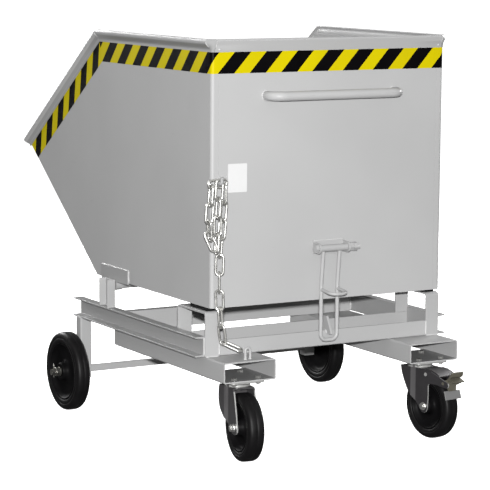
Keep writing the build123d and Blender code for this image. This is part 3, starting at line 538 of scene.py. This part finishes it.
def clip(poly, fn, c, keep_above):
    out = []
    for i in range(len(poly)):
        p, q = poly[i], poly[(i + 1) % len(poly)]
        a, b = fn(p) - c, fn(q) - c
        if not keep_above:
            a, b = -a, -b
        if a >= 0:
            out.append(p)
        if (a > 0 and b < 0) or (a < 0 and b > 0):
            t = a / (a - b)
            out.append((p[0] + (q[0] - p[0]) * t, p[1] + (q[1] - p[1]) * t))
    return out


def striped(cells, half, phase):
    """cells: (polygon in (s, t), stripe value). Returns polygons with 0 for black and 1 for yellow."""
    out = []
    for poly, fn in cells:
        vals = [fn(p) for p in poly]
        k0, k1 = math.floor((min(vals) - phase) / half), math.floor((max(vals) - phase) / half)
        for k in range(k0 - 1, k1 + 2):
            w = -WIDE if k % 2 == 0 else WIDE
            q = clip(clip(poly, fn, phase + k * half + w, True), fn, phase + (k + 1) * half - w, False)
            if len(q) < 3:
                continue
            area = sum(q[i][0] * q[(i + 1) % len(q)][1] - q[(i + 1) % len(q)][0] * q[i][1] for i in range(len(q))) / 2 if len(q) > 2 else 0
            if abs(area) > 0.05:
                out.append((q, k % 2))
    return out


def tape_piece(name, polys, at):
    """at(s, t, lift) gives the place in design coordinates."""
    verts, index, faces, idx = [], {}, [], []

    def vid(p, layer):
        key = (round(p[0], 2), round(p[1], 2), layer)
        if key not in index:
            index[key] = len(verts)
            verts.append(D(*at(p[0], p[1], 0.42 if layer else 0.03)))
        return index[key]

    edges = {}
    for poly, colour in polys:
        top = []
        for p in poly:
            v = vid(p, 1)
            if not top or (v != top[-1] and v != top[0]):
                top.append(v)
        if len(top) < 3:
            continue
        low = []
        for p in poly:
            v = vid(p, 0)
            if not low or (v != low[-1] and v != low[0]):
                low.append(v)
        faces.append(tuple(top))
        idx.append(colour)
        faces.append(tuple(reversed(low)))
        idx.append(colour)
        for i in range(len(top)):
            a, b = top[i], top[(i + 1) % len(top)]
            edges.setdefault((min(a, b), max(a, b)), []).append((a, b, low[i], low[(i + 1) % len(low)], colour))
    for e in edges.values():
        if len(e) == 1:
            a, b, c, d, colour = e[0]
            faces.append((b, a, c, d))
            idx.append(colour)
    return piece(name, verts, faces, [BLACK, YELLOW], "box", (), idx, sharp=25.0)


def band_at(s, t, lift):
    sg = -1 if s < 0 else 1
    a = abs(s)
    if a <= 390:
        return (s, -lift, TAPE_Z0 + t)
    if a <= 390 + ARC:
        th = (a - 390) / 10.0
        r = 10.0 + lift
        return (sg * (390 + r * math.sin(th)), 10 - r * math.cos(th), TAPE_Z0 + t)
    return (sg * (400 + lift), 10 + a - 390 - ARC, TAPE_Z0 + t)


def band_value(p):
    s, t = p
    sg = -1 if s < 0 else 1
    a = abs(s)
    if a > 390 + ARC:
        a = 390 + 24.9 + (a - 390 - ARC) * 1.008
    elif a > 390:
        a = 390 + 24.9 * (a - 390) / ARC
    return sg * a - LEAN * t


def s_of(y):
    return 390 + ARC + y - 10


cells = []
brk = [390 + ARC * i / 8 for i in range(9)]
for sg in (-1, 1):
    end = [(sg * s_of(704.2), 0.0), (sg * s_of(726.6), BAND_H)]
    mids = [s_of(y) for y in (150.0, 300.0, 450.0, 600.0)]
    cols = brk + mids
    for a, b in zip(cols[:-1], cols[1:]):
        cells.append(([(sg * a, 0.0), (sg * b, 0.0), (sg * b, BAND_H), (sg * a, BAND_H)], band_value))
    a = cols[-1]
    cells.append(([(sg * a, 0.0), end[0], end[1], (sg * a, BAND_H)], band_value))
cells.append(([(-390.0, 0.0), (390.0, 0.0), (390.0, BAND_H), (-390.0, BAND_H)], band_value))
tape_piece("striped_tape_band", striped(cells, 52.6, 41.1), band_at)

# along the sloped edge: s runs up the slope, t away from the hopper's middle
SLOPE_O = (726.6, 1178.4)


def slope_at(side):
    def at(s, t, lift):
        q = t - TAPE_H
        return (side * (400 + lift), SLOPE_O[0] - s * sd[0] + q * sn[0], SLOPE_O[1] - s * sd[1] + q * sn[1])
    return at


slope_len = (1244.7 - SLOPE_O[0]) / sd[0]
wt = wd[0] * sn[0] + wd[1] * sn[1]
wsl = wd[0] * sd[0] + wd[1] * sd[1]
in_low = -(slope_len - TAPE_H / wt * wsl)
inner_top = ((704.2 - SLOPE_O[0]) * -sd[0] + (1117.9 - SLOPE_O[1]) * -sd[1])
strip = [(0.0, TAPE_H), (-slope_len, TAPE_H), (in_low, 0.0), (inner_top, 0.0)]
tape_piece("striped_tape_left_slope", striped([(strip, lambda p: p[0] - 0.914 * p[1])], 53.46, -109.0), slope_at(-1))
tape_piece("striped_tape_right_slope", striped([(strip, lambda p: -p[0] - 0.914 * p[1])], 53.46, 20.0), slope_at(1))

# ---------------------------------------------------------------------------
# blank label on the rear wall
lx0, lx1, lz0, lz1, lr = -345.0, -282.0, 775.0, 858.0, 2.5
outline = []
for cx, cz, a0 in ((lx1 - lr, lz1 - lr, 0), (lx0 + lr, lz1 - lr, 90), (lx0 + lr, lz0 + lr, 180), (lx1 - lr, lz0 + lr, 270)):
    for i in range(5):
        a = math.radians(a0 + 22.5 * i)
        outline.append((cx + lr * math.cos(a), cz + lr * math.sin(a)))
v, f = swept([[D(x, -0.02, z) for x, z in outline], [D(x, -0.32, z) for x, z in outline]])
piece("blank_label", v, f, [WHITE], "box", sharp=25.0)


# ---------------------------------------------------------------------------
# weld beads: a rippled run along each joint
def bead(path, r, closed=False):
    """path: design points. Returns one closed tube with ripples."""
    pts = []
    run = path + [path[0]] if closed else path
    step = 1.0
    for a, b in zip(run[:-1], run[1:]):
        va, vb = Vector(a), Vector(b)
        n = max(1, int((vb - va).length / step))
        for i in range(n):
            pts.append(va.lerp(vb, i / n))
    if not closed:
        pts.append(Vector(run[-1]))
    loops = []
    n = len(pts)
    ph = rng.random() * 3
    ref = None
    for i, p in enumerate(pts):
        if closed:
            t = pts[(i + 1) % n] - pts[i - 1]
        else:
            t = pts[min(i + 1, n - 1)] - pts[max(i - 1, 0)]
        t.normalize()
        if ref is None:
            ref = t.orthogonal().normalized()
        ref = (ref - t * ref.dot(t)).normalized()
        bi = t.cross(ref)
        w = abs(math.sin(math.pi * (i * step / 4.2 + ph)))
        rr = r * (0.80 + 0.22 * w + 0.06 * math.sin(i * 0.13 + ph))
        if not closed:
            e = min(i, n - 1 - i)
            rr *= min(1.0, 0.45 + 0.2 * e)
        loops.append([D(*(p + ref * (rr * math.cos(a)) + bi * (rr * math.sin(a))))
                      for a in [2 * math.pi * k / 8 for k in range(8)]])
    if closed:
        loops.append(loops[0])
        v, f = swept(loops[:-1], cap=False)
        k0 = (n - 1) * 8
        f += [(k0 + k, k0 + (k + 1) % 8, (k + 1) % 8, k) for k in range(8)]
        return v, f
    return swept(loops)


def welds(name, runs, body):
    verts, faces = [], []
    for path, r, closed in runs:
        v, f = bead(path, r, closed)
        b0 = len(verts)
        verts += v
        faces += [tuple(i + b0 for i in q) for q in f]
    return piece(name, verts, faces, [WELD], body, sharp=80.0)


def ring_y(x, y, z, r, k=28):
    return [(x + r * math.cos(2 * math.pi * i / k), y, z + r * math.sin(2 * math.pi * i / k)) for i in range(k)]


def ring_z(x, y, z, r, k=20):
    return [(x + r * math.cos(2 * math.pi * i / k), y + r * math.sin(2 * math.pi * i / k), z) for i in range(k)]


box_runs, frame_runs = [], []
for s in (-1, 1):
    box_runs.append(([(s * 400.6, 525, 481.0), (s * 400.6, 710, 481.0)], 2.6, False))
    box_runs.append(([(s * 400.6, 523.2, 480.0), (s * 400.6, 523.2, 442.0)], 2.2, False))
    box_runs.append(([(s * 400.6, 711.8, 480.0), (s * 400.6, 711.8, 446.0)], 2.2, False))
    box_runs.append((ring_y(s * 219.0, -0.6, 1051.5, 14.4), 2.4, True))
    # filled corner of the rim, and a blob at the top of the seam beside it
    for fn in (rim_side_end, rim_rear_start):
        run = [fn(flare(u), u) for u in (0, 4, 8, 12, 16, 19)]
        box_runs.append(([(-s * x, y, z) for x, y, z in run], 1.0, False))
    run = [rim_knee(flare(u), u) for u in (0, 4, 8, 12, 16, 19)]
    box_runs.append(([(-s * x, y, z) for x, y, z in run], 1.0, False))
    box_runs.append(([(s * 377.3, -3.4, 1183.8), (s * 377.3, -4.0, 1187.0), (s * 377.3, -4.6, 1190.2)], 3.0, False))
    # strap to rear beam, strap to pocket, channel to pocket, leg and post to channel
    frame_runs.append(([(s * 363.0, 13.6, 300.0), (s * 363.0, 13.6, 342.0)], 2.8, False))
    frame_runs.append(([(s * 365.0, 13.6, 296.4), (s * 407.0, 13.6, 296.4)], 2.6, False))
    frame_runs.append(([(s * 409.2, 21.0, 299.0), (s * 409.2, 21.0, 354.0)], 2.2, False))
    for y0 in (40.0, 200.0, 360.0, 520.0):
        frame_runs.append(([(s * 407.2, y0, 295.6), (s * 407.2, y0 + 70.0, 295.6)], 2.4, False))
    frame_runs.append(([(s * 407.0, 787.0, 295.8), (s * 437.0, 787.0, 295.8)], 2.6, False))
    frame_runs.append(([(s * 437.6, 789.0, 295.6), (s * 437.6, 820.0, 295.6)], 2.4, False))
    frame_runs.append(([(s * 408.0, 605.0, 356.8), (s * 432.0, 605.0, 356.8)], 2.4, False))
    frame_runs.append(([(s * 408.0, 665.0, 356.8), (s * 432.0, 665.0, 356.8)], 2.4, False))
    frame_runs.append(([(s * 414.0, 613.0, 357.0), (s * 414.0, 657.0, 357.0)], 2.2, False))
    frame_runs.append(([(s * 400.0, 800.0, 137.0), (s * 400.0, 817.0, 137.0)], 2.0, False))
    frame_runs.append(([(s * 400.0, 798.2, 118.0), (s * 400.0, 798.2, 136.0)], 2.0, False))
    frame_runs.append(([(s * 236.0, 181.0, 296.4), (s * 360.0, 181.0, 296.4)], 2.2, False))
    frame_runs.append(([(s * 405.6, 510.0, 300.0), (s * 405.6, 510.0, 353.0)], 2.2, False))
box_runs.append(([(-54.0, -0.4, 617.4), (49.0, -0.4, 617.4)], 2.2, False))
box_runs.append(([(-54.0, -0.4, 577.6), (49.0, -0.4, 577.6)], 2.2, False))
box_runs.append((ring_y(-388.0, -0.4, 806.0, 5.2, 20), 1.8, True))
frame_runs.append(([(2.8, 13.7, 332.0), (2.8, 13.7, 342.5)], 1.8, False))
frame_runs.append(([(11.2, 13.7, 332.0), (11.2, 13.7, 342.5)], 1.8, False))
frame_runs.append(([(2.8, 16.0, 343.2), (2.8, 33.0, 343.2)], 1.8, False))
frame_runs.append((ring_z(-319.0, -62.0, 296.3, 4.3), 1.6, True))
frame_runs.append((ring_z(-303.0, -62.0, 296.3, 4.3), 1.6, True))
welds("hopper_welds", box_runs, "box")
welds("frame_welds", frame_runs, "chassis")

# weld that fills the notch of the floor in each rear corner of the hopper
for s, name in ((-1, "left_corner_fill"), (1, "right_corner_fill")):
    loops = []
    for z, g in ((440.3, 0.12), (442.6, 0.12), (443.5, 1.2), (444.0, 3.0)):
        ring = [(387.0 + g, 3.0 + g), (387.0 + g, 13.0 - g), (397.0 - g, 13.0 - g)]
        ring += [(390.0 + (7.0 - g) * math.cos(math.radians(a)), 10.0 - (7.0 - g) * math.sin(math.radians(a))) for a in range(0, 91, 15)]
        loops.append([D(s * x, y, z) for x, y in ring])
    v, f = swept(loops)
    piece(name, v, f, [WELD], "box", sharp=60.0)


# ---------------------------------------------------------------------------
# wheels
def mirrored(half):
    return half + [(-x, r) for x, r in reversed(half)]


def tyre_outline(R, hw, r_in):
    return mirrored([
        (0.35, R - 0.3), (0.9, R), (hw * 0.30, R), (hw * 0.45, R - 0.12), (hw * 0.60, R - 0.6), (hw * 0.72, R - 1.6), (hw * 0.82, R - 3.2),
        (hw * 0.90, R - 5.6), (hw * 0.955, R - 8.6), (hw * 0.985, R - 11.6), (hw, R - 14.6), (hw, R - 16.6),
        (hw - 0.6, R - 17.6), (hw - 1.3, R - 18.4), (hw - 1.3, R - 19.6), (hw - 0.6, R - 20.6), (hw - 0.2, R - 21.6),
        (hw - 0.1, r_in + 8.0), (hw - 0.4, r_in + 5.0), (hw - 1.2, r_in + 2.4), (hw - 2.4, r_in + 0.9), (hw - 3.6, r_in + 0.3),
        (hw - 5.4, r_in)])


def rim_outline(r_out, hw, hub_hw, hub_r, bore):
    lip = hw - 1.6
    return mirrored([
        (hw - 5.4, r_out - 0.15), (hw - 3.8, r_out - 0.3), (lip - 0.5, r_out - 0.9), (lip, r_out - 2.2), (lip - 0.1, r_out - 4.0),
        (lip - 1.0, r_out - 5.6), (lip - 3.4, r_out - 7.2), (lip - 7.0, r_out - 9.2), (11.0, r_out - 12.0), (8.8, r_out - 15.0),
        (7.6, r_out - 19.0), (7.1, r_out - 24.0), (7.0, hub_r + 19.0), (7.4, hub_r + 13.0), (8.8, hub_r + 8.0), (12.0, hub_r + 4.2),
        (17.0, hub_r + 2.0), (hub_hw - 4.0, hub_r + 0.8), (hub_hw - 1.4, hub_r), (hub_hw - 0.3, hub_r - 1.1), (hub_hw, hub_r - 2.6),
        (hub_hw, hub_r - 6.0), (hub_hw - 0.8, hub_r - 7.0), (hub_hw - 0.8, bore + 2.0), (hub_hw - 1.8, bore)])


def spin(name):
    j = joint[name]
    return Vector(j["pos_m"]), Vector(j["axis"])


for s in ("left", "right"):
    c, ax = spin(f"{s}_front_spin")
    v, f = lathe(tyre_outline(125.0, 23.25, 92.0), c, ax, 144)
    piece(f"{s}_front_tyre_shape", v, f, [RUBBER], f"{s}_front_wheel", (f"{s}_front_tyre",), sharp=40.0)
    v, f = lathe(rim_outline(92.0, 23.25, 29.0, 27.0, 10.06), c, ax, 144)
    piece(f"{s}_front_rim_shape", v, f, [RIM], f"{s}_front_wheel", (f"{s}_front_rim",), sharp=40.0)
    c, ax = spin(f"{s}_castor_spin")
    v, f = lathe(tyre_outline(100.0, 25.0, 72.0), c, ax, 144)
    piece(f"{s}_castor_tyre_shape", v, f, [RUBBER], f"{s}_castor_wheel", (f"{s}_castor_tyre",), sharp=40.0)
    v, f = lathe(rim_outline(72.0, 25.0, 29.0, 23.0, 6.06), c, ax, 144)
    piece(f"{s}_castor_rim_shape", v, f, [RIM], f"{s}_castor_wheel", (f"{s}_castor_rim",), sharp=40.0)

# thread on the free end of the latch bolt
prof = [(0.0, 6.0)]
for i in range(6):
    prof += [(0.1 + 1.75 * i, 8.02), (0.7 + 1.75 * i, 8.5), (1.0 + 1.75 * i, 8.5), (1.6 + 1.75 * i, 8.02)]
prof.append((10.4, 6.0))
v, f = lathe(prof, D(78.4, -28.0, 597.0), (1, 0, 0), 40)
piece("latch_bolt_thread", v, f, [FRAME], "box", sharp=30.0)

# ---------------------------------------------------------------------------
# stage
bm = bmesh.new()
bmesh.ops.create_grid(bm, x_segments=1, y_segments=1, size=180.0)
me = bpy.data.meshes.new("floor")
bm.to_mesh(me)
bm.free()
floor = bpy.data.objects.new("floor", me)
scene.collection.objects.link(floor)
fm, nt, b = new_mat("floor")
b.inputs["Base Color"].default_value = (0.85, 0.85, 0.85, 1)
b.inputs["Roughness"].default_value = 0.95
b.inputs["Specular IOR Level"].default_value = 0.0
b.inputs["Emission Color"].default_value = (1, 1, 1, 1)
b.inputs["Emission Strength"].default_value = 0.90
me.materials.append(fm)
floor.visible_diffuse = False
floor.visible_glossy = False
floor.visible_shadow = False

# soft light from above, weak light from below
SKY, GROUND = 0.40, 0.10
world = bpy.data.worlds.new("studio")
scene.world = world
world.use_nodes = True
wt = world.node_tree
sep = N(wt, "ShaderNodeSeparateXYZ")
wt.links.new(N(wt, "ShaderNodeTexCoord").outputs["Generated"], sep.inputs[0])
wt.links.new(mapr(wt, sep.outputs["Z"], GROUND, SKY, -0.10, 0.40), wt.nodes["Background"].inputs["Strength"])
wt.nodes["Background"].inputs["Color"].default_value = (1, 1, 1, 1)
scene.view_settings.view_transform = "Standard"


def area(name, loc, target, size, power):
    ld = bpy.data.lights.new(name, "AREA")
    ld.shape = "SQUARE"
    ld.size = size
    ld.energy = power
    lo = bpy.data.objects.new(name, ld)
    scene.collection.objects.link(lo)
    lo.location = loc
    lo.rotation_euler = (Vector(target) - Vector(loc)).to_track_quat("-Z", "Y").to_euler()
    lo.visible_camera = False
    return lo


key = D(*CAM) + Vector((0, 0, 0.20))
area("key", key, (0, -0.2, 0.6), 0.12, 750)
area("fill_left", (-3.3, -1.9, 4.0), (-0.4, -0.3, 0.8), 1.4, 17)
area("fill_right", (4.6, 1.0, 2.2), (0, 0, 0.6), 1.8, 280)
area("fill_front", (-0.75, 5.0, 2.2), (0, 0, 0.6), 1.8, 200)
